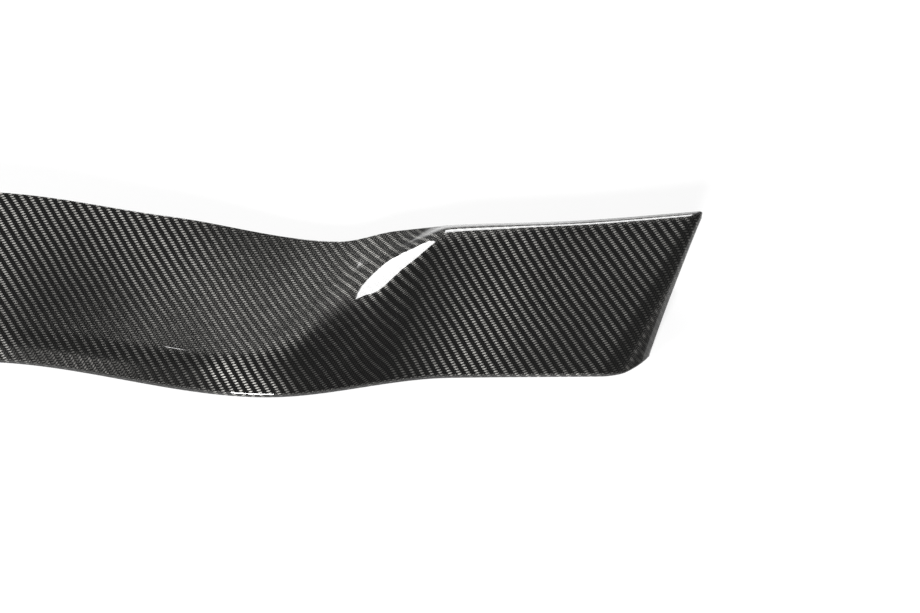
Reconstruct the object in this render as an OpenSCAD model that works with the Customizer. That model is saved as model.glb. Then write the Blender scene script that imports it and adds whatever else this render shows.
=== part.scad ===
/* [Overall] */
// Width over the two tips
span = 1200; // [1120:10:1360]
// How far a tip stands outboard of its leading corner
tip_rake = 64; // [44:1:80]

/* [Centre section] */
// How far the centre of the leading edge sits behind the end panels' leading edge
centre_setback = 18; // [5:1:25]
// Height of the trailing edge at the centre
centre_height = 73; // [60:1:85]
// Depth from leading edge to trailing edge at the centre
centre_depth = 128; // [115:1:145]
// Run of the leading lip, from its edge to its ridge
lip_run = 15; // [12:1:20]
// Height of the lip's ridge above the lid
lip_height = 18; // [14:1:22]
// Depth of the hollow in the ramp behind the lip
ramp_hollow = 3; // [0:0.5:6]

/* [Dip and swell] */
// Distance of the trailing edge's dip from the centre plane
dip_at = 300; // [285:1:315]
// Height of the trailing edge at the dip
dip_height = 39; // [32:1:46]
// Distance of the leading edge's swell from the centre plane
swell_at = 280; // [260:1:295]
// How far the swell reaches ahead of the end panels' leading edge
swell = 23; // [10:1:30]

/* [End panels] */
// Distance of the shoulder, where the ridge turns outboard, from the centre plane
shoulder_at = 395; // [385:1:405]
// Depth of an end panel from its leading edge to the ridge
panel_depth = 113; // [106:1:118]
// Height of the ridge along the end panels
shoulder_height = 66; // [60:1:72]
// Height of the ridge at the tip
tip_height = 72; // [64:1:78]
// Width in plan of the strip behind the ridge
strip_run = 13; // [10:1:16]
// Fall of the strip from the ridge to the trailing edge
strip_fall = 8; // [4:1:10]

/* [Edges] */
// Height of the leading edge above the lid
edge_height = 3; // [2.5:0.1:4]
// Rounding along the leading edge
edge_radius = 2.5; // [1:0.1:3]
// Reach of the end's roll-over at the leading corner
corner_reach = 26; // [18:1:32]
// Drop of the end's roll-over at the leading corner
corner_drop = 14; // [8:0.5:16]
// Reach and drop of the end's roll-over at the tip
tip_roll = 5; // [4:0.5:7]
// Length of the trailing edge's rounding on each side
trail_round = 3; // [2:0.1:3.5]
// How far the foot of the rear face sits ahead of the trailing edge
undercut = 20; // [14:1:26]
// How far the foot of the rear face draws inboard at each end
foot_draw = 26; // [20:1:34]

/* [Laminate] */
// Thickness of the laminate
wall = 2.5; // [2:0.1:3]
// Width of the flange that is bonded to the lid
flange_width = 14; // [11:0.5:16]

/* [Hidden] */
half = span / 2;
// Share of the tip's roll-over by which the last full section stands inboard of the end
rim_share = 0.4;
rim_at = half - rim_share * tip_roll;
rim_rake = tip_rake + corner_reach - tip_roll;
// Least height of a section's front above what it stands on
front_step = 0.8;
// Longest share of a straight that a rounding may use
blend_share = 0.48;
// Longest share of the leading edge's height that its rounding may use
edge_share = 0.8;
// Place of the rear face's waist, as shares of the undercut and of the height
waist_out = 0.25;
waist_up = 0.4;
// Share of the flange's width by which its ends stand inboard of the end sections
flange_end_share = 0.7;
// Where the leading edge has come back from the swell
swell_end = 455;

// Guide curves: [distance from the centre plane, value], through points chosen by eye
lead_y = [[0, centre_setback], [swell_at, -swell], [swell_end, -0.5], [rim_at, 1]];
ridge_y = [[0, centre_setback + lip_run], [160, 9], [225, 1], [257, 3.5], [292, 20], [320, 50.5], [345, 73.5],
    [370, 96], [shoulder_at, panel_depth - 5], [rim_at - 105, panel_depth], [rim_at, panel_depth + 5]];
ridge_z = [[0, lip_height], [160, 19], [225, 21], [257, 21.5], [292, 26.5], [320, 35], [345, 43.5], [370, 57],
    [shoulder_at, shoulder_height], [rim_at - 105, shoulder_height], [rim_at, tip_height]];
trail_y = [[0, centre_setback + centre_depth], [155, 131], [dip_at, 122], [345, 126],
    [shoulder_at, panel_depth + strip_run + 3], [rim_at - 105, panel_depth + strip_run],
    [rim_at, panel_depth + strip_run + 3]];
trail_z = [[0, centre_height], [155, 60], [dip_at, dip_height], [345, 47],
    [shoulder_at, shoulder_height - 2 * strip_fall], [rim_at - 105, shoulder_height - strip_fall],
    [rim_at, tip_height - 0.7 * strip_fall]];
hollow = [[0, ramp_hollow], [240, ramp_hollow], [dip_at, 0.7 * ramp_hollow], [shoulder_at, 0], [rim_at, 0]];
ridge_round = [[0, 10], [240, 10], [335, 40], [shoulder_at, 18], [rim_at - 105, 6], [rim_at, 6]];

// Steps along each stretch of a section, and across the span
edge_steps = 3;
lip_steps = 6;
ridge_steps = 5;
ramp_steps = 10;
trail_steps = 3;
rear_steps = 5;
half_steps = 28;
roll_steps = 4;
end_steps = 2;

section_steps = 1 + edge_steps + lip_steps + ridge_steps + ramp_steps + trail_steps + rear_steps;
// The rounding of the trailing edge starts after this step of a section
rear_from = section_steps - rear_steps - trail_steps;
last_row = 2 * (half_steps + roll_steps + end_steps);

function mix(a, b, t) = a + (b - a) * t;
function unit(v) = v / norm(v);
function clamp(x, low, high) = min(max(x, low), high);

// Monotone cubic through a guide's points, level at the centre plane
function rise(g, i) = (g[i + 1][1] - g[i][1]) / (g[i + 1][0] - g[i][0]);
function tangent(g, i) =
    i == 0 ? 0 :
    i == len(g) - 1 ? rise(g, i - 1) :
    rise(g, i - 1) * rise(g, i) <= 0 ? 0 :
    let (a = g[i][0] - g[i - 1][0], b = g[i + 1][0] - g[i][0])
    3 * (a + b) / ((2 * b + a) / rise(g, i - 1) + (b + 2 * a) / rise(g, i));
function interval(g, x, i = 0) = i >= len(g) - 2 || x < g[i + 1][0] ? i : interval(g, x, i + 1);
function guide(g, x) =
    let (i = interval(g, x), h = g[i + 1][0] - g[i][0], t = (x - g[i][0]) / h, u = 1 - t)
    g[i][1] * u * u * (1 + 2 * t) + tangent(g, i) * h * t * u * u
    + g[i + 1][1] * t * t * (3 - 2 * t) - tangent(g, i + 1) * h * t * t * u;

// Normal that points into the section from a line in direction d
function inward(d) = [d[1], -d[0]];
// Shift of a corner between directions a and b when both its lines move in by one
function corner_shift(a, b) = (inward(a) + inward(b)) / (1 + inward(a) * inward(b));
function curve(a, b, c, t) = mix(mix(a, b, t), mix(b, c, t), t);
function curve_points(a, b, c, steps) = [for (k = [1:steps]) curve(a, b, c, k / steps)];

// One section as [y, z] points, from the front foot over the top to the rear foot.
// Its lines stand in by inset, and it stands at height base.
function section(d, inset, base) =
    let (
        start0 = [guide(lead_y, d), edge_height],
        ridge0 = [guide(ridge_y, d), guide(ridge_z, d)],
        trail0 = [guide(trail_y, d), guide(trail_z, d)],
        mid0 = (ridge0 + trail0) / 2 - [0, 2 * guide(hollow, d)],
        foot0 = [trail0[0] - undercut, 0],
        waist0 = [mix(foot0[0], trail0[0], waist_out), trail0[1] * waist_up],
        lip = unit(ridge0 - start0),
        up = unit(mid0 - ridge0),
        over = unit(trail0 - mid0),
        down = unit(waist0 - trail0),
        under = unit(foot0 - waist0),
        ridge = ridge0 + inset * corner_shift(lip, up),
        mid = mid0 + inset * corner_shift(up, over),
        trail = trail0 + inset * corner_shift(over, down),
        waist = waist0 + inset * corner_shift(down, under),
        foot1 = foot0 + inset * inward(under),
        foot = foot1 - under * (foot1[1] - base) / under[1],
        level_y = ridge[0] - (ridge[1] - base - front_step) * lip[0] / lip[1],
        front_y = max(start0[0] + inset, level_y),
        front = [front_y, ridge[1] - (ridge[0] - front_y) * lip[1] / lip[0]],
        t_edge = min(edge_radius * tan((90 - atan2(lip[1], lip[0])) / 2), edge_share * (front[1] - base)),
        edge_end = front + lip * t_edge,
        t_lip = min(guide(ridge_round, d), blend_share * norm(ridge - edge_end)),
        t_ramp = min(guide(ridge_round, d), blend_share * norm(trail - ridge)),
        t_trail = min(trail_round, blend_share * norm(trail - ridge)),
        ridge_start = ridge - lip * t_lip,
        ridge_end = ridge + up * t_ramp,
        trail_start = trail - over * t_trail,
        trail_end = trail + down * t_trail
    )
    concat(
        [[front_y, base], front - [0, t_edge]],
        curve_points(front - [0, t_edge], front, edge_end, edge_steps),
        [for (k = [1:lip_steps]) mix(edge_end, ridge_start, k / lip_steps)],
        curve_points(ridge_start, ridge, ridge_end, ridge_steps),
        curve_points(ridge_end, mid, trail_start, ramp_steps),
        curve_points(trail_start, trail, trail_end, trail_steps),
        curve_points(trail_end, waist, foot, rear_steps));

// Share of the depth at which a section's point lies, 0 at the leading edge
function depth_share(d, y) = (y - guide(lead_y, d)) / (guide(trail_y, d) - guide(lead_y, d));

// Place of a section's point: sections fan from the centre plane to the raked ends,
// and the rear face draws inboard towards its foot
function placed(d, side, p, rear) =
    let (draw = rear ? foot_draw * (1 - clamp(p[1] / guide(trail_z, d), 0, 1)) : 0)
    [side * d / rim_at * (rim_at - rim_rake * (1 - depth_share(d, p[0])) - draw), p[0], p[1]];

function placed_section(d, side, inset, base) =
    let (points = section(d, inset, base))
    [for (j = [0:section_steps]) placed(d, side, points[j], j > rear_from)];

// Running length along a list of points, as shares of its whole length
function runs(points, i = 1, total = [0]) =
    i == len(points) ? total : runs(points, i + 1, concat(total, [total[i - 1] + norm(points[i] - points[i - 1])]));
function shares(points) = let (total = runs(points)) total / total[len(total) - 1];

// Rows that roll the surface over beyond the last full section, quickly at the tip and
// broadly at the leading corner, and then fill the end wall down to its foot
function roll_row(side, inset, base, a) =
    let (
        rim = section(rim_at, inset, base),
        fall = 1 - cos(a),
        corner = section(rim_at, inset + max(corner_drop - inset, 1) * fall, base),
        tip = section(rim_at, inset + max(tip_roll - inset, 1) * fall, base)
    )
    [for (j = [0:section_steps])
        let (
            t = j > rear_from ? 1 : clamp(depth_share(rim_at, rim[j][0]), 0, 1),
            reach = (mix(corner_reach, tip_roll, t) - inset) * sin(a)
        )
        placed(rim_at, side, mix(corner[j], tip[j], t), j > rear_from) + [side * reach, 0, 0]];
function cap(side, inset, base) =
    let (
        rolls = [for (k = [1:roll_steps]) roll_row(side, inset, base, 90 * k / roll_steps)],
        last = rolls[roll_steps - 1],
        share = shares(last),
        foot = [for (s = share) mix(last[0], last[section_steps], s)]
    )
    concat(rolls, [for (k = [1:end_steps]) [for (j = [0:section_steps]) mix(last[j], foot[j], k / end_steps)]]);

stations = [for (k = [1:half_steps]) rim_at * k / half_steps];

function reversed(list) = [for (i = [len(list) - 1:-1:0]) list[i]];

// All rows of one skin, from the left end's foot to the right end's foot
function skin(inset, base) =
    concat(
        reversed(cap(-1, inset, base)),
        reversed([for (d = stations) placed_section(d, -1, inset, base)]),
        [placed_section(0, 1, inset, base)],
        [for (d = stations) placed_section(d, 1, inset, base)],
        cap(1, inset, base));

// Index of a skin's point: an end wall closes on one point at the front foot and one at the rear
function skin_index(r, j) =
    (j == 0 || j == section_steps ? clamp(r, end_steps, last_row - end_steps) : r) * (section_steps + 1) + j;

// The rim is where a skin meets the flange: front, right end, rear, left end
rim_row = roll_steps + end_steps;
front_rim = [for (r = [rim_row:last_row - rim_row]) skin_index(r, 0)];
right_rim = concat(
    [for (r = [last_row - rim_row + 1:last_row - end_steps]) skin_index(r, 0)],
    [for (j = [1:section_steps - 1]) skin_index(last_row, j)],
    [for (r = [last_row - end_steps:-1:last_row - rim_row + 1]) skin_index(r, section_steps)]);
rear_rim = [for (r = [last_row - rim_row:-1:rim_row]) skin_index(r, section_steps)];
left_rim = concat(
    [for (r = [rim_row - 1:-1:end_steps]) skin_index(r, section_steps)],
    [for (j = [section_steps - 1:-1:1]) skin_index(0, j)],
    [for (r = [end_steps:rim_row - 1]) skin_index(r, 0)]);
rim = concat(front_rim, right_rim, rear_rim, left_rim);

// Inner edge of the flange, in the order of the rim
function flange_edge(points) =
    let (
        shrink = 1 - flange_end_share * flange_width / rim_at,
        ds = concat(reversed(stations), [0], stations) * shrink,
        last = 2 * half_steps,
        front = [for (i = [0:last])
            placed(ds[i], i < half_steps ? -1 : 1, [guide(lead_y, ds[i]) + flange_width, 0], false)],
        rear = [for (i = [last:-1:0])
            placed(ds[i], i < half_steps ? -1 : 1, [guide(trail_y, ds[i]) - undercut - flange_width, 0], true)],
        right_share = shares([for (i = concat([front_rim[last]], right_rim, [rear_rim[0]])) points[i]]),
        left_share = shares([for (i = concat([rear_rim[last]], left_rim, [front_rim[0]])) points[i]])
    )
    concat(
        front,
        [for (i = [1:len(right_rim)]) mix(front[last], rear[0], right_share[i])],
        rear,
        [for (i = [1:len(left_rim)]) mix(rear[last], front[0], left_share[i])]);

// A four-cornered patch as triangles, less any that has shrunk to a line
function patch(a, b, c, d) = [for (f = [[a, b, c], [a, c, d]]) if (f[0] != f[1] && f[1] != f[2] && f[2] != f[0]) f];
function flat(lists) = [for (list = lists) for (item = list) item];
function skin_faces(base, flip) =
    flat([for (r = [0:last_row - 1]) for (j = [0:section_steps - 1])
        let (
            a = base + skin_index(r, j),
            b = base + skin_index(r, j + 1),
            c = base + skin_index(r + 1, j + 1),
            d = base + skin_index(r + 1, j)
        )
        flip ? patch(d, c, b, a) : patch(a, b, c, d)]);
function ring_faces(outer, inner) =
    let (n = len(outer))
    flat([for (i = [0:n - 1])
        let (k = (i + 1) % n)
        patch(outer[i], outer[k], inner[k], inner[i])]);

module spoiler_shell() {
    outer_points = flat(skin(0, 0));
    inner_points = flat(skin(wall, wall));
    low_edge = flange_edge(outer_points);
    high_edge = [for (p = low_edge) p + [0, 0, wall]];
    inner_base = len(outer_points);
    low_base = inner_base + len(inner_points);
    high_base = low_base + len(low_edge);
    inner_rim = [for (i = rim) inner_base + i];
    low_ring = [for (i = [0:len(low_edge) - 1]) low_base + i];
    high_ring = [for (i = [0:len(high_edge) - 1]) high_base + i];
    ys = [for (p = outer_points) p[1]];
    color([0.10, 0.10, 0.11])
        translate([0, -(min(ys) + max(ys)) / 2, 0])
        polyhedron(
            points = concat(outer_points, inner_points, low_edge, high_edge),
            faces = concat(
                skin_faces(0, false),
                skin_faces(inner_base, true),
                ring_faces(rim, low_ring),
                ring_faces(low_ring, high_ring),
                ring_faces(high_ring, inner_rim)),
            convexity = 6);
}

spoiler_shell();
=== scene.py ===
import math
import bmesh
import bpy
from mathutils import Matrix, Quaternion, Vector


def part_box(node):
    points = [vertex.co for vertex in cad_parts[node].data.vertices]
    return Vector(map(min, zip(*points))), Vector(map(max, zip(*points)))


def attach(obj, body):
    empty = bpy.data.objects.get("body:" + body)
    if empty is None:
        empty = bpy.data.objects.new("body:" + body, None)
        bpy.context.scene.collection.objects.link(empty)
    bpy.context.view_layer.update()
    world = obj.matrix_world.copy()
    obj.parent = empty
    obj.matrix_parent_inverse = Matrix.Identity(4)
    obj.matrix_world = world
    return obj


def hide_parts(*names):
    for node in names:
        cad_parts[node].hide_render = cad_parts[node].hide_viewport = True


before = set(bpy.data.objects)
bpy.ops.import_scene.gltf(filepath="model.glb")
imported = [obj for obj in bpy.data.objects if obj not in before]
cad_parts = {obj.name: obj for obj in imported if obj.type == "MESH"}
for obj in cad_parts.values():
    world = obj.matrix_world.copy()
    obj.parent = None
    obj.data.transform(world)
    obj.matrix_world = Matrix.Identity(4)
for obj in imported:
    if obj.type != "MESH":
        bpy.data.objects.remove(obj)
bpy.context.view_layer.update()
shellLow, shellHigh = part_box("spoiler_shell")
print("frame loaded, shell box", [round(v, 4) for v in shellHigh - shellLow])

# lengths in metres
shell = {
    "half": 0.600,  # half of the span
    "tipRake": 0.064,  # how far a tip stands outboard of its leading corner
    "cornerReach": 0.026,  # the end's roll-over at the leading corner
    "cornerDrop": 0.014,
    "tipRoll": 0.005,  # and at the tip
    "leastDrop": 0.001,  # least drop of the roll-over on the inner skin
    "rimShare": 0.4,  # share of the tip's roll-over by which the last full section stands inboard
    "panelLength": 0.105,  # straight part of an end panel
    "edgeHeight": 0.003,
    "edgeRadius": 0.0025,
    "edgeShare": 0.8,  # most of the leading edge's height that its rounding may use
    "trailRound": 0.003,
    "blendShare": 0.48,  # most of a straight that a rounding may use
    "undercut": 0.020,  # how far the foot of the rear face sits ahead of the trailing edge
    "waistOut": 0.25,  # place of the rear face's waist, as shares of the undercut and of the height
    "waistUp": 0.4,
    "footDraw": 0.026,  # how far the foot of the rear face draws inboard at each end
    "frontStep": 0.0008,  # least height of a section's front above what it stands on
    "wall": 0.0025,
    "flangeWidth": 0.014,
    "flangeEndShare": 0.7,  # share of that width by which its ends stand inboard of the end sections
    "halfStations": 120,
    "rollRows": 10,
    "endRows": 4,
    "edgeSteps": 5,
    "lipSteps": 18,
    "ridgeSteps": 12,
    "rampSteps": 24,
    "trailSteps": 6,
    "rearSteps": 10,
    "sharpAngle": 40.0,  # degrees between faces, from which an edge is shaded sharp
    "sameSpot": 1e-6,
}
rimAt = shell["half"] - shell["rimShare"] * shell["tipRoll"]
rimRake = shell["tipRake"] + shell["cornerReach"] - shell["tipRoll"]
panelFrom = rimAt - shell["panelLength"]

# lines along the spoiler, each point is a distance from the centre plane and a depth, height or size there
leadDepth = [(0, 0.018), (0.280, -0.023), (0.455, -0.0005), (rimAt, 0.001)]
ridgeDepth = [(0, 0.033), (0.160, 0.009), (0.225, 0.001), (0.257, 0.0035), (0.292, 0.020), (0.320, 0.0505),
              (0.345, 0.0735), (0.370, 0.096), (0.395, 0.108), (panelFrom, 0.113), (rimAt, 0.118)]
ridgeHeight = [(0, 0.018), (0.160, 0.019), (0.225, 0.021), (0.257, 0.0215), (0.292, 0.0265), (0.320, 0.035),
               (0.345, 0.0435), (0.370, 0.057), (0.395, 0.066), (panelFrom, 0.066), (rimAt, 0.072)]
trailDepth = [(0, 0.146), (0.155, 0.131), (0.300, 0.122), (0.345, 0.126), (0.395, 0.129),
              (panelFrom, 0.126), (rimAt, 0.129)]
trailHeight = [(0, 0.073), (0.155, 0.060), (0.300, 0.039), (0.345, 0.047), (0.395, 0.050),
               (panelFrom, 0.058), (rimAt, 0.0664)]
rampHollow = [(0, 0.003), (0.240, 0.003), (0.300, 0.0021), (0.395, 0), (rimAt, 0)]
ridgeRound = [(0, 0.010), (0.240, 0.010), (0.335, 0.040), (0.395, 0.018), (panelFrom, 0.006), (rimAt, 0.006)]

# columns of a row of points, and rows of a skin
stepNames = ("edgeSteps", "lipSteps", "ridgeSteps", "rampSteps", "trailSteps", "rearSteps")
lastCol = 1 + sum(shell[name] for name in stepNames)
trailCol = lastCol - shell["rearSteps"] - shell["trailSteps"] // 2
rearFrom = lastCol - shell["rearSteps"] - shell["trailSteps"]
rimRow = shell["rollRows"] + shell["endRows"]
lastRow = 2 * (shell["halfStations"] + rimRow)


def mix(a, b, t):
    return a + (b - a) * t


def follow(line, d):
    # monotone cubic through the line's points, level at the centre plane
    rise = [(q[1] - p[1]) / (q[0] - p[0]) for p, q in zip(line, line[1:])]

    def slope(k):
        if k == 0:
            return 0
        if k == len(line) - 1:
            return rise[-1]
        if rise[k - 1] * rise[k] <= 0:
            return 0
        a = line[k][0] - line[k - 1][0]
        b = line[k + 1][0] - line[k][0]
        return 3 * (a + b) / ((2 * b + a) / rise[k - 1] + (b + 2 * a) / rise[k])

    i = max(k for k in range(len(line) - 1) if k == 0 or line[k][0] <= d)
    h = line[i + 1][0] - line[i][0]
    t = (d - line[i][0]) / h
    u = 1 - t
    here = line[i][1] * u * u * (1 + 2 * t) + slope(i) * h * t * u * u
    return here + line[i + 1][1] * t * t * (3 - 2 * t) - slope(i + 1) * h * t * t * u


def inward(d):
    # a quarter turn from direction d, into the laminate
    return Vector((d.y, -d.x))


def cornerShift(a, b):
    # way that a corner between directions a and b goes when both its lines move in by one
    return (inward(a) + inward(b)) / (1 + inward(a).dot(inward(b)))


def bend(a, b, c, steps):
    # quadratic curve from a to c with its corner at b, without its first point
    return [a.lerp(b, k / steps).lerp(b.lerp(c, k / steps), k / steps) for k in range(1, steps + 1)]


def sectionAt(d, inset, base):
    # depth and height of the points of one section, from the front foot over the top to the rear foot
    start = Vector((follow(leadDepth, d), shell["edgeHeight"]))
    ridge = Vector((follow(ridgeDepth, d), follow(ridgeHeight, d)))
    trail = Vector((follow(trailDepth, d), follow(trailHeight, d)))
    middle = (ridge + trail) / 2 - Vector((0, 2 * follow(rampHollow, d)))
    foot = Vector((trail.x - shell["undercut"], 0))
    waist = Vector((mix(foot.x, trail.x, shell["waistOut"]), trail.y * shell["waistUp"]))
    lip = (ridge - start).normalized()
    up = (middle - ridge).normalized()
    over = (trail - middle).normalized()
    down = (waist - trail).normalized()
    under = (foot - waist).normalized()
    ridge = ridge + inset * cornerShift(lip, up)
    middle = middle + inset * cornerShift(up, over)
    trail = trail + inset * cornerShift(over, down)
    waist = waist + inset * cornerShift(down, under)
    foot = foot + inset * inward(under)
    foot = foot - under * (foot.y - base) / under.y
    levelDepth = ridge.x - (ridge.y - base - shell["frontStep"]) * lip.x / lip.y
    frontDepth = max(start.x + inset, levelDepth)
    front = Vector((frontDepth, ridge.y - (ridge.x - frontDepth) * lip.y / lip.x))
    edgeCut = shell["edgeRadius"] * math.tan((math.pi / 2 - math.atan2(lip.y, lip.x)) / 2)
    edgeCut = min(edgeCut, shell["edgeShare"] * (front.y - base))
    edgeStart = front - Vector((0, edgeCut))
    edgeEnd = front + lip * edgeCut
    lipCut = min(follow(ridgeRound, d), shell["blendShare"] * (ridge - edgeEnd).length)
    rampCut = min(follow(ridgeRound, d), shell["blendShare"] * (trail - ridge).length)
    trailCut = min(shell["trailRound"], shell["blendShare"] * (trail - ridge).length)
    ridgeStart = ridge - lip * lipCut
    ridgeEnd = ridge + up * rampCut
    trailStart = trail - over * trailCut
    trailEnd = trail + down * trailCut
    points = [Vector((frontDepth, base)), edgeStart]
    points += bend(edgeStart, front, edgeEnd, shell["edgeSteps"])
    points += [edgeEnd.lerp(ridgeStart, k / shell["lipSteps"]) for k in range(1, shell["lipSteps"] + 1)]
    points += bend(ridgeStart, ridge, ridgeEnd, shell["ridgeSteps"])
    points += bend(ridgeEnd, middle, trailStart, shell["rampSteps"])
    points += bend(trailStart, trail, trailEnd, shell["trailSteps"])
    points += bend(trailEnd, waist, foot, shell["rearSteps"])
    return points


def depthShare(d, depth):
    # 0 at the leading edge and 1 at the trailing edge
    lead = follow(leadDepth, d)
    return (depth - lead) / (follow(trailDepth, d) - lead)


def placed(d, side, p, rear):
    # sections fan out to the raked ends, and the rear face draws inboard towards its foot
    draw = shell["footDraw"] * (1 - min(max(p.y / follow(trailHeight, d), 0), 1)) if rear else 0
    out = d / rimAt * (rimAt - rimRake * (1 - depthShare(d, p.x)) - draw)
    return Vector((side * out, p.x, p.y))


def stationRow(d, side, inset, base):
    return [placed(d, side, p, j > rearFrom) for j, p in enumerate(sectionAt(d, inset, base))]


def rollRow(side, inset, base, turn):
    # the end rolls over quickly at the tip and broadly at the leading corner
    fall = 1 - math.cos(turn)
    rim = sectionAt(rimAt, inset, base)
    cornerDrop = max(shell["cornerDrop"] - inset, shell["leastDrop"])
    tipDrop = max(shell["tipRoll"] - inset, shell["leastDrop"])
    corner = sectionAt(rimAt, inset + cornerDrop * fall, base)
    tip = sectionAt(rimAt, inset + tipDrop * fall, base)
    row = []
    for j in range(lastCol + 1):
        t = 1 if j > rearFrom else min(max(depthShare(rimAt, rim[j].x), 0), 1)
        reach = (mix(shell["cornerReach"], shell["tipRoll"], t) - inset) * math.sin(turn)
        spot = placed(rimAt, side, corner[j].lerp(tip[j], t), j > rearFrom)
        row.append(spot + Vector((side * reach, 0, 0)))
    return row


def shares(points):
    # how far along the points each one lies, from 0 to 1
    total = [0]
    for a, b in zip(points, points[1:]):
        total.append(total[-1] + (b - a).length)
    return [t / total[-1] for t in total]


def endRows(side, inset, base):
    # the roll-over, and the end wall from it to the line between the two feet
    turns = [math.pi / 2 * k / shell["rollRows"] for k in range(1, shell["rollRows"] + 1)]
    rolled = [rollRow(side, inset, base, turn) for turn in turns]
    last = rolled[-1]
    chord = [last[0].lerp(last[-1], s) for s in shares(last)]
    steps = [k / shell["endRows"] for k in range(1, shell["endRows"] + 1)]
    return rolled + [[a.lerp(b, t) for a, b in zip(last, chord)] for t in steps]


def skinRows(inset, base):
    # one skin from the left end to the right, moved in by inset, with its feet at height base
    stations = [rimAt * k / shell["halfStations"] for k in range(1, shell["halfStations"] + 1)]
    left = [stationRow(d, -1, inset, base) for d in stations] + endRows(-1, inset, base)
    right = [stationRow(d, 1, inset, base) for d in stations] + endRows(1, inset, base)
    return left[::-1] + [stationRow(0, 1, inset, base)] + right


def clothRows(rows, lean):
    # where each point lies on the flat cloth: along the weft, and along the warp from the trailing edge
    cloth = []
    for r, row in enumerate(rows):
        source = rows[min(max(r, rimRow), lastRow - rimRow)]
        run = [0]
        for a, b in zip(source, source[1:]):
            run.append(run[-1] + math.hypot(b.y - a.y, b.z - a.z))
        below = [run[trailCol] - s for s in run]
        cloth.append([Vector((p.x + lean * s, s * math.hypot(1, lean))) for p, s in zip(source, below)])
    for side, rim in ((-1, rimRow), (1, lastRow - rimRow)):
        for k in range(1, rimRow + 1):
            r = rim + side * k
            for c in range(lastCol + 1):
                step = (rows[r][c] - rows[r - side][c]).length
                cloth[r][c].x = cloth[r - side][c].x + side * step
    return cloth


def rimSpots():
    # row and column of each point of the rim: front, right end, rear, left end
    low, high = rimRow, lastRow - rimRow
    lowEnd, highEnd = shell["endRows"], lastRow - shell["endRows"]
    front = [(r, 0) for r in range(low, high + 1)]
    right = [(r, 0) for r in range(high + 1, highEnd + 1)]
    right += [(lastRow, c) for c in range(1, lastCol)]
    right += [(r, lastCol) for r in range(highEnd, high, -1)]
    rear = [(r, lastCol) for r in range(high, low - 1, -1)]
    left = [(r, lastCol) for r in range(low - 1, lowEnd - 1, -1)]
    left += [(0, c) for c in range(lastCol - 1, 0, -1)]
    left += [(r, 0) for r in range(lowEnd, low)]
    return front, right, rear, left


def flangeEdge(rows):
    # inner edge of the flange, in the order of the rim
    front, right, rear, left = [[rows[r][c] for r, c in part] for part in rimSpots()]
    shrink = 1 - shell["flangeEndShare"] * shell["flangeWidth"] / rimAt
    stations = range(-shell["halfStations"], shell["halfStations"] + 1)
    spots = [rimAt * shrink * k / shell["halfStations"] for k in stations]
    frontEdge = []
    rearEdge = []
    for s in spots:
        d, side = abs(s), -1 if s < 0 else 1
        ahead = Vector((follow(leadDepth, d) + shell["flangeWidth"], 0))
        behind = Vector((follow(trailDepth, d) - shell["undercut"] - shell["flangeWidth"], 0))
        frontEdge.append(placed(d, side, ahead, False))
        rearEdge.insert(0, placed(d, side, behind, True))
    rightShare = shares([front[-1], *right, rear[0]])[1:-1]
    leftShare = shares([rear[-1], *left, front[0]])[1:-1]
    return (frontEdge + [frontEdge[-1].lerp(rearEdge[0], s) for s in rightShare]
            + rearEdge + [rearEdge[-1].lerp(frontEdge[0], s) for s in leftShare])


def layGrid(bm, uvLayer, rows, cloth, material):
    # a plain grid, whose points go to their places by row and column
    first = len(bm.faces)
    made = bmesh.ops.create_grid(bm, x_segments=lastCol, y_segments=lastRow, size=0.5)["verts"]
    spot = {v: (round((v.co.y + 0.5) * lastRow), round((v.co.x + 0.5) * lastCol)) for v in made}
    for v, (r, c) in spot.items():
        v.co = rows[r][c]
    bm.faces.ensure_lookup_table()
    for f in bm.faces[first:]:
        f.material_index = material
        for loop in f.loops:
            r, c = spot[loop.vert]
            loop[uvLayer].uv = cloth[r][c]


def nearKey(p):
    return tuple(round(v / shell["sameSpot"]) for v in p)


def pullEdge(bm, edges, start, target):
    # extrudes a run of edges, and takes each new point from its place in start to that in target
    goes = {nearKey(a): b for a, b in zip(start, target)}
    made = bmesh.ops.extrude_edge_only(bm, edges=edges)["geom"]
    for item in made:
        if isinstance(item, bmesh.types.BMVert):
            item.co = goes[nearKey(item.co)]
    return [e for e in made if isinstance(e, bmesh.types.BMEdge) and e.is_boundary]


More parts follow.
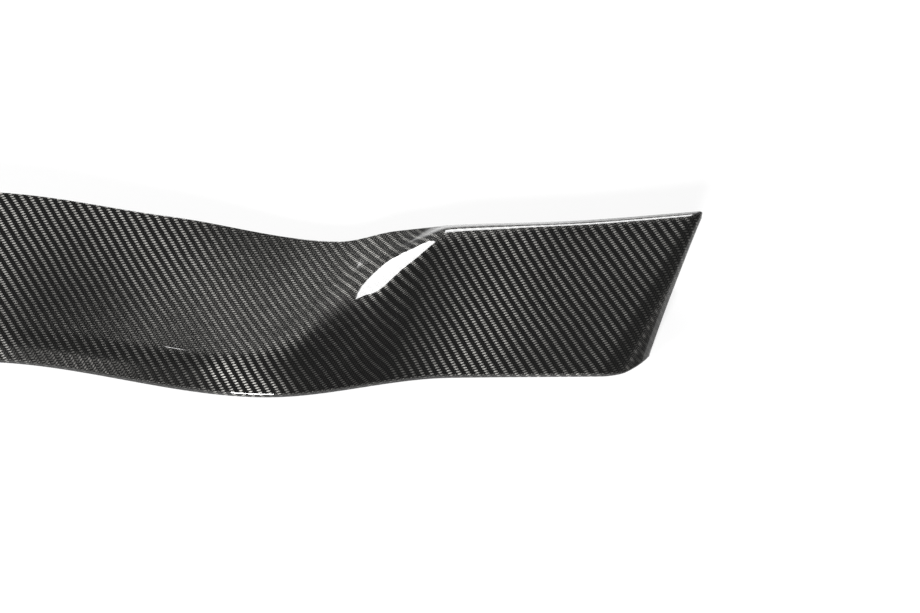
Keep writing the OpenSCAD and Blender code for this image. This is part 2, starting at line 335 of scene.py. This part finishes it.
def makeShell():
    lacquered, bare = 0, 1  # material slots
    outer = skinRows(0, 0)
    inner = skinRows(shell["wall"], shell["wall"])
    depths = [p.y for row in outer for p in row]
    toMiddle = Vector((0, -(min(depths) + max(depths)) / 2, 0))
    low = [p + toMiddle for p in flangeEdge(outer)]
    high = [p + Vector((0, 0, shell["wall"])) for p in low]
    outer = [[p + toMiddle for p in row] for row in outer]
    inner = [[p + toMiddle for p in row] for row in inner]
    ring = [spot for part in rimSpots() for spot in part]

    bm = bmesh.new()
    uvLayer = bm.loops.layers.uv.new("cloth")
    layGrid(bm, uvLayer, outer, clothRows(outer, twill["lean"]), lacquered)
    bmesh.ops.remove_doubles(bm, verts=bm.verts[:], dist=shell["sameSpot"])
    skinFaces = len(bm.faces)
    rimEdges = [e for e in bm.edges if e.is_boundary]
    lowEdges = pullEdge(bm, rimEdges, [outer[r][c] for r, c in ring], low)
    highEdges = pullEdge(bm, lowEdges, low, high)
    pullEdge(bm, highEdges, high, [inner[r][c] for r, c in ring])
    bm.faces.ensure_lookup_table()
    for f in bm.faces[skinFaces:]:
        f.material_index = bare
        for loop in f.loops:
            loop[uvLayer].uv = loop.vert.co.xy
    layGrid(bm, uvLayer, inner, clothRows(inner, twill["lean"]), bare)
    bmesh.ops.remove_doubles(bm, verts=bm.verts[:], dist=shell["sameSpot"])
    bmesh.ops.recalc_face_normals(bm, faces=bm.faces[:])
    for f in bm.faces:
        f.smooth = True
    for e in bm.edges:
        e.smooth = e.calc_face_angle(0) < math.radians(shell["sharpAngle"])
    openEdges = sum(1 for e in bm.edges if len(e.link_faces) != 2)
    volume = round(bm.calc_volume(signed=True) * 1e6, 1)
    print("shell", len(bm.faces), "faces,", openEdges, "open edges,", volume, "cm3")
    mesh = bpy.data.meshes.new("spoilerShell")
    bm.to_mesh(mesh)
    bm.free()
    made = bpy.data.objects.new("spoilerShell", mesh)
    bpy.context.scene.collection.objects.link(made)
    return made


def srgb(hexColor):
    # sRGB hex to linear RGBA
    channels = [int(hexColor[i:i + 2], 16) / 255 for i in (1, 3, 5)]
    return (*[c / 12.92 if c <= 0.04045 else ((c + 0.055) / 1.055) ** 2.4 for c in channels], 1)


def addNode(tree, kind, inputs=None, **settings):
    node = tree.nodes.new("ShaderNode" + kind)
    for name, value in settings.items():
        setattr(node, name, value)
    for name, value in (inputs or {}).items():
        if isinstance(value, bpy.types.NodeSocket):
            tree.links.new(value, node.inputs[name])
        else:
            node.inputs[name].default_value = value
    return node


def newMaterial(name):
    made = bpy.data.materials.new(name)
    made.use_nodes = True
    made.node_tree.nodes.clear()
    return made, made.node_tree


twill = {
    "tow": 0.002,  # width of one tow of 3K carbon, in metres
    "over": 2,  # tows that each one passes over, and then under
    "lean": 0.444,  # how far the warp leans outboard for each unit of run up the part
    "wander": 0.35,  # how far the tows stray, in tows
    "wanderSize": 0.045,  # length over which they stray, in metres
    "crown": 0.00006,  # height of a tow over its edges, in metres
    "crownPower": 0.5,  # below 1 flattens the tows' backs
    # the weft is painted lighter than the warp: a painted sheen for the shine it catches where it lies
    # square to the light
    "weftSheenColor": "#6a6966",
    "warpColor": "#383735",
    "gapColor": "#0e0e0e",
    "towVariation": 0.35,  # how much darker one dash may be than another
    "dashSkew": 0.25,  # how far a dash climbs across its tow for each tow of run
    "dashFrom": 0.5,  # shares of the crown between which a tow's colour rises out of the gap
    "dashTo": 0.95,
    "metallic": 0.9,
    "roughness": 0.40,
    "anisotropy": 1.0,
    "coatRoughness": 0.03,
    "coatIor": 1.65,
}


def weaveNodes(tree):
    # each tow passes over two and under two, one step on from its neighbour
    over, repeat = twill["over"], 2 * twill["over"]
    cloth = addNode(tree, "UVMap", uv_map="cloth").outputs["UV"]
    perTow = 1 / twill["tow"]
    perWander = 1 / twill["wanderSize"]
    tows = addNode(tree, "Mapping", {"Vector": cloth, "Scale": (perTow, perTow, 1)}).outputs[0]
    drift = addNode(tree, "Mapping", {"Vector": cloth, "Scale": (perWander, perWander, 1)}).outputs[0]
    drift = addNode(tree, "TexNoise", {"Vector": drift, "Scale": 1.0, "Detail": 1.0}).outputs["Color"]
    drift = addNode(tree, "VectorMath", {0: drift, 1: (0.5, 0.5, 0.5)}, operation="SUBTRACT").outputs[0]
    tows = addNode(tree, "VectorMath", {0: drift, 1: (2 * twill["wander"],) * 3, 2: tows},
                   operation="MULTIPLY_ADD").outputs[0]
    split = addNode(tree, "SeparateXYZ", {0: tows})
    x, y = split.outputs[0], split.outputs[1]
    warpIndex = addNode(tree, "Math", {0: x}, operation="FLOOR").outputs[0]
    weftIndex = addNode(tree, "Math", {0: y}, operation="FLOOR").outputs[0]
    weftRun = addNode(tree, "Math", {0: x, 1: weftIndex}, operation="SUBTRACT").outputs[0]
    weftRun = addNode(tree, "Math", {0: weftRun, 1: repeat}, operation="FLOORED_MODULO").outputs[0]
    warpRun = addNode(tree, "Math", {0: y, 1: warpIndex}, operation="SUBTRACT").outputs[0]
    warpRun = addNode(tree, "Math", {0: warpRun, 1: over - 1}, operation="SUBTRACT").outputs[0]
    warpRun = addNode(tree, "Math", {0: warpRun, 1: repeat}, operation="FLOORED_MODULO").outputs[0]
    weftOver = addNode(tree, "Math", {0: weftRun, 1: over}, operation="LESS_THAN").outputs[0]
    humps = []
    for run, across, skew in ((warpRun, x, 0.0), (weftRun, y, twill["dashSkew"])):
        across = addNode(tree, "Math", {0: across}, operation="FRACT").outputs[0]
        across = addNode(tree, "Math", {0: run, 1: skew, 2: across}, operation="MULTIPLY_ADD").outputs[0]
        across = addNode(tree, "Math", {0: across, 1: skew}, operation="SUBTRACT").outputs[0]
        across = addNode(tree, "Math", {0: across, 1: math.pi}, operation="MULTIPLY").outputs[0]
        across = addNode(tree, "Math", {0: across}, operation="SINE").outputs[0]
        run = addNode(tree, "Math", {0: run, 1: math.pi / over}, operation="MULTIPLY").outputs[0]
        run = addNode(tree, "Math", {0: run}, operation="SINE").outputs[0]
        humps.append(addNode(tree, "Math", {0: across, 1: run}, operation="MULTIPLY").outputs[0])
    crown = addNode(tree, "Mix", {"Factor": weftOver, "A": humps[0], "B": humps[1]},
                    data_type="FLOAT").outputs[0]
    crown = addNode(tree, "Math", {0: crown, 1: twill["crownPower"]}, operation="POWER").outputs[0]
    dashIndex = addNode(tree, "Math", {0: x, 1: weftIndex}, operation="SUBTRACT").outputs[0]
    dashIndex = addNode(tree, "Math", {0: dashIndex, 1: 1 / repeat}, operation="MULTIPLY").outputs[0]
    dashIndex = addNode(tree, "Math", {0: dashIndex}, operation="FLOOR").outputs[0]
    own = addNode(tree, "CombineXYZ", {0: dashIndex, 1: weftIndex}).outputs[0]
    own = addNode(tree, "TexWhiteNoise", {"Vector": own}, noise_dimensions="2D").outputs["Value"]
    return weftOver, crown, own


def towColor(tree, weftOver, crown, own):
    # colour of each tow, the weft painted lighter than the warp as a painted sheen, a little different from
    # dash to dash, with dark resin between the tows
    warpColor, weftSheenColor, gapColor = [srgb(twill[k]) for k in ("warpColor", "weftSheenColor", "gapColor")]
    color = addNode(tree, "Mix", {"Factor": weftOver, 6: warpColor, 7: weftSheenColor},
                    data_type="RGBA").outputs[2]
    dim = addNode(tree, "Math", {0: own, 1: -twill["towVariation"], 2: 1.0},
                  operation="MULTIPLY_ADD").outputs[0]
    color = addNode(tree, "VectorMath", {0: color, "Scale": dim}, operation="SCALE").outputs[0]
    filled = addNode(tree, "MapRange", {0: crown, 1: twill["dashFrom"], 2: twill["dashTo"]},
                     interpolation_type="SMOOTHSTEP").outputs[0]
    return addNode(tree, "Mix", {"Factor": filled, 6: gapColor, 7: color}, data_type="RGBA").outputs[2]


def lacqueredTwill():
    # 3K carbon twill under polished clear lacquer: filaments shine across their length only, so the weft
    # shows as pale dashes where it lies square to the light, helped by a painted sheen in the weft's lighter
    # colour, and sharp reflections float on the lacquer
    made, tree = newMaterial("lacqueredTwill")
    weftOver, crown, own = weaveNodes(tree)
    color = towColor(tree, weftOver, crown, own)
    normal = addNode(tree, "Bump", {"Height": crown, "Distance": twill["crown"]}).outputs[0]
    # a quarter turn on the weft, so that each tow's shine spreads across it
    turn = addNode(tree, "Math", {0: weftOver, 1: 0.25}, operation="MULTIPLY").outputs[0]
    alongWeft = addNode(tree, "Tangent", direction_type="UV_MAP", uv_map="cloth").outputs[0]
    shader = addNode(tree, "BsdfPrincipled", {
        "Base Color": color,
        "Metallic": twill["metallic"],
        "Roughness": twill["roughness"],
        "Normal": normal,
        "Anisotropic": twill["anisotropy"],
        "Anisotropic Rotation": turn,
        "Tangent": alongWeft,
        "Coat Weight": 1.0,
        "Coat Roughness": twill["coatRoughness"],
        "Coat IOR": twill["coatIor"],
    })
    addNode(tree, "OutputMaterial", {"Surface": shader.outputs[0]})
    return made


bareFace = {
    "resin": 0.6,  # how much of the cloth's colour the resin hides
    "resinColor": "#1f1e1d",
    "relief": 2,  # times the lacquered face's
    "roughness": 0.5,
}


def bareTwill():
    # inner face as it came off the bag: the same cloth under dull resin, with no lacquer
    made, tree = newMaterial("bareTwill")
    weftOver, crown, own = weaveNodes(tree)
    # the weft keeps its painted sheen here too, mostly hidden under the resin
    color = towColor(tree, weftOver, crown, own)
    dull = addNode(tree, "Mix", {"Factor": bareFace["resin"], 6: color, 7: srgb(bareFace["resinColor"])},
                   data_type="RGBA").outputs[2]
    relief = bareFace["relief"] * twill["crown"]
    normal = addNode(tree, "Bump", {"Height": crown, "Distance": relief}).outputs[0]
    shader = addNode(tree, "BsdfPrincipled", {
        "Base Color": dull,
        "Roughness": bareFace["roughness"],
        "Normal": normal,
    })
    addNode(tree, "OutputMaterial", {"Surface": shader.outputs[0]})
    return made


spoiler = makeShell()
spoiler.data.materials.append(lacqueredTwill())
spoiler.data.materials.append(bareTwill())
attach(spoiler, "root")
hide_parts("spoiler_shell")
print("shell finished")

studio = {
    "floorSize": 60.0,
    "floorColor": "#fbfbfb",
    "floorRoughness": 0.9,
    "floorGloss": 0.1,
    "floorGlow": 0.76,  # share of plain white that the camera and the reflections see
    "skyLow": 0.3,  # strength at the horizon
    "skyHigh": 0.145,  # and overhead
    "skyFrom": 0.05,  # sines of the elevation between which the one turns into the other
    "skyTo": 0.2,
    "middle": (0.33, 0, 0.05),  # what the lamps point at
}
softboxes = {
    "sideSoftbox": {  # mirrored as the bright streak on the bend
        "toward": (-0.456, 0.509, 0.730),
        "away": 2.42,
        "wide": 0.524,
        "tall": 2.0,
        "turn": -7.9,
        "radiance": 15,
    },
    "rearSoftbox": {  # mirrored as the thin line along the end panel's ridge
        "toward": (0.0, 0.866, 0.50),
        "away": 2.4,
        "wide": 0.52,
        "tall": 1.0,
        "turn": 0,
        "radiance": 9.5,
    },
    "frontSoftbox": {  # brings out the weft's dashes, from low in front
        "toward": (-0.10, -0.86, 0.50),
        "away": 5.0,
        "wide": 1.1,
        "tall": 0.75,
        "turn": 0,
        "radiance": 165,
    },
}


def makeFloor():
    # matt white background paper: an even pale ground that only a soft shadow marks
    bm = bmesh.new()
    bmesh.ops.create_grid(bm, x_segments=1, y_segments=1, size=studio["floorSize"] / 2)
    mesh = bpy.data.meshes.new("paperFloor")
    bm.to_mesh(mesh)
    bm.free()
    made = bpy.data.objects.new("paperFloor", mesh)
    bpy.context.scene.collection.objects.link(made)
    paper, tree = newMaterial("paperWhite")
    shader = addNode(tree, "BsdfPrincipled", {
        "Base Color": srgb(studio["floorColor"]),
        "Roughness": studio["floorRoughness"],
        "Specular IOR Level": studio["floorGloss"],
    })
    rays = addNode(tree, "LightPath")
    seen = addNode(tree, "Math", {0: rays.outputs["Is Camera Ray"], 1: rays.outputs["Is Glossy Ray"]},
                   operation="MAXIMUM").outputs[0]
    seen = addNode(tree, "Math", {0: seen, 1: rays.outputs["Is Transmission Ray"]},
                   operation="MAXIMUM").outputs[0]
    seen = addNode(tree, "Math", {0: seen, 1: studio["floorGlow"]}, operation="MULTIPLY").outputs[0]
    white = addNode(tree, "Emission", {"Strength": 1.0})
    shader = addNode(tree, "MixShader", {0: seen, 1: shader.outputs[0], 2: white.outputs[0]})
    addNode(tree, "OutputMaterial", {"Surface": shader.outputs[0]})
    made.data.materials.append(paper)


def lightSky():
    # dim and plain, a little brighter in a band along the horizon
    world = bpy.data.worlds.new("studioSky")
    world.use_nodes = True
    tree = world.node_tree
    tree.nodes.clear()
    toward = addNode(tree, "TexCoord").outputs["Generated"]
    height = addNode(tree, "SeparateXYZ", {0: toward}).outputs[2]
    strength = addNode(tree, "MapRange", {0: height, 1: studio["skyFrom"], 2: studio["skyTo"],
                                          3: studio["skyLow"], 4: studio["skyHigh"]}).outputs[0]
    sky = addNode(tree, "Background", {"Color": (1, 1, 1, 1), "Strength": strength})
    addNode(tree, "OutputWorld", {"Surface": sky.outputs[0]})
    bpy.context.scene.world = world


def hangSoftbox(name, box):
    # its power in watts follows from the radiance of its face
    lamp = bpy.data.lights.new(name, "AREA")
    lamp.shape = "RECTANGLE"
    lamp.size, lamp.size_y = box["wide"], box["tall"]
    lamp.energy = box["radiance"] * math.pi * box["wide"] * box["tall"]
    toward = Vector(box["toward"]).normalized()
    made = bpy.data.objects.new(name, lamp)
    made.location = Vector(studio["middle"]) + toward * box["away"]
    facing = toward.to_track_quat("Z", "Y") @ Quaternion((0, 0, 1), math.radians(box["turn"]))
    made.rotation_euler = facing.to_euler()
    bpy.context.scene.collection.objects.link(made)


makeFloor()
lightSky()
for name, box in softboxes.items():
    hangSoftbox(name, box)
print("studio lit")

photo = {
    "width": 920,
    "metresPerPixel": 0.00083,
    "elevation": 45.0,
    "lens": 400.0,
    "target": (0.3984, 0.0216, 0),
    "viewEnd": 100,
}


def setCamera():
    # straight ahead of the part, looking down on it through a long lens
    data = bpy.data.cameras.new("photoCamera")
    data.lens = photo["lens"]
    made = bpy.data.objects.new("photoCamera", data)
    bpy.context.scene.collection.objects.link(made)
    e = math.radians(photo["elevation"])
    away = photo["width"] * photo["metresPerPixel"] * data.lens / data.sensor_width
    made.location = Vector(photo["target"]) + Vector((0, -math.cos(e), math.sin(e))) * away
    made.rotation_euler = (math.pi / 2 - e, 0, 0)
    data.clip_end = photo["viewEnd"]
    bpy.context.scene.camera = made


setCamera()
bpy.context.scene.view_settings.view_transform = "Standard"
